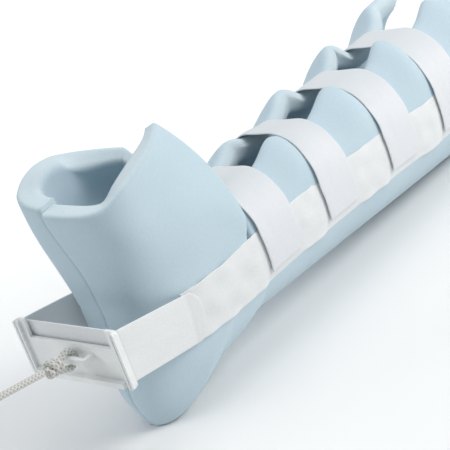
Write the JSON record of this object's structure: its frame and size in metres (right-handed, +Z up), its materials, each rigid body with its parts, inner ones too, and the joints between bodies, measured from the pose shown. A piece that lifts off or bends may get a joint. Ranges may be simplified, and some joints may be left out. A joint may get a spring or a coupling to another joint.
{
  "type": "traction splint",
  "caption": "Foam leg boot, open along the shin and closed by soft straps, with a stirrup strap through a spreader plate under the sole and a rope tied to it for traction.",
  "frame": {"origin": "on the ground under the middle of the splint, its rope aside", "axes": "+Y along the leg away from the sole, +X to the side, +Z up from heel to toes"},
  "size_m": [0.1794, 0.7313, 0.2555],
  "materials": {
    "foam": "matte fine-celled foam",
    "webbing": "brushed loop fabric",
    "plate": "satin moulded",
    "rope": "braided cord"
  },
  "bodies": {
    "root": {"foam_boot": "foam", "side_strip_near": "webbing", "side_strip_far": "webbing", "leg_strap_1": "webbing", "leg_strap_2": "webbing", "leg_strap_3": "webbing", "leg_strap_4": "webbing", "stirrup_strap": "webbing", "spreader_plate": "plate", "rope_tie": "rope", "traction_rope": "rope", "rope_end_knot": "rope"}
  },
  "joints": []
}
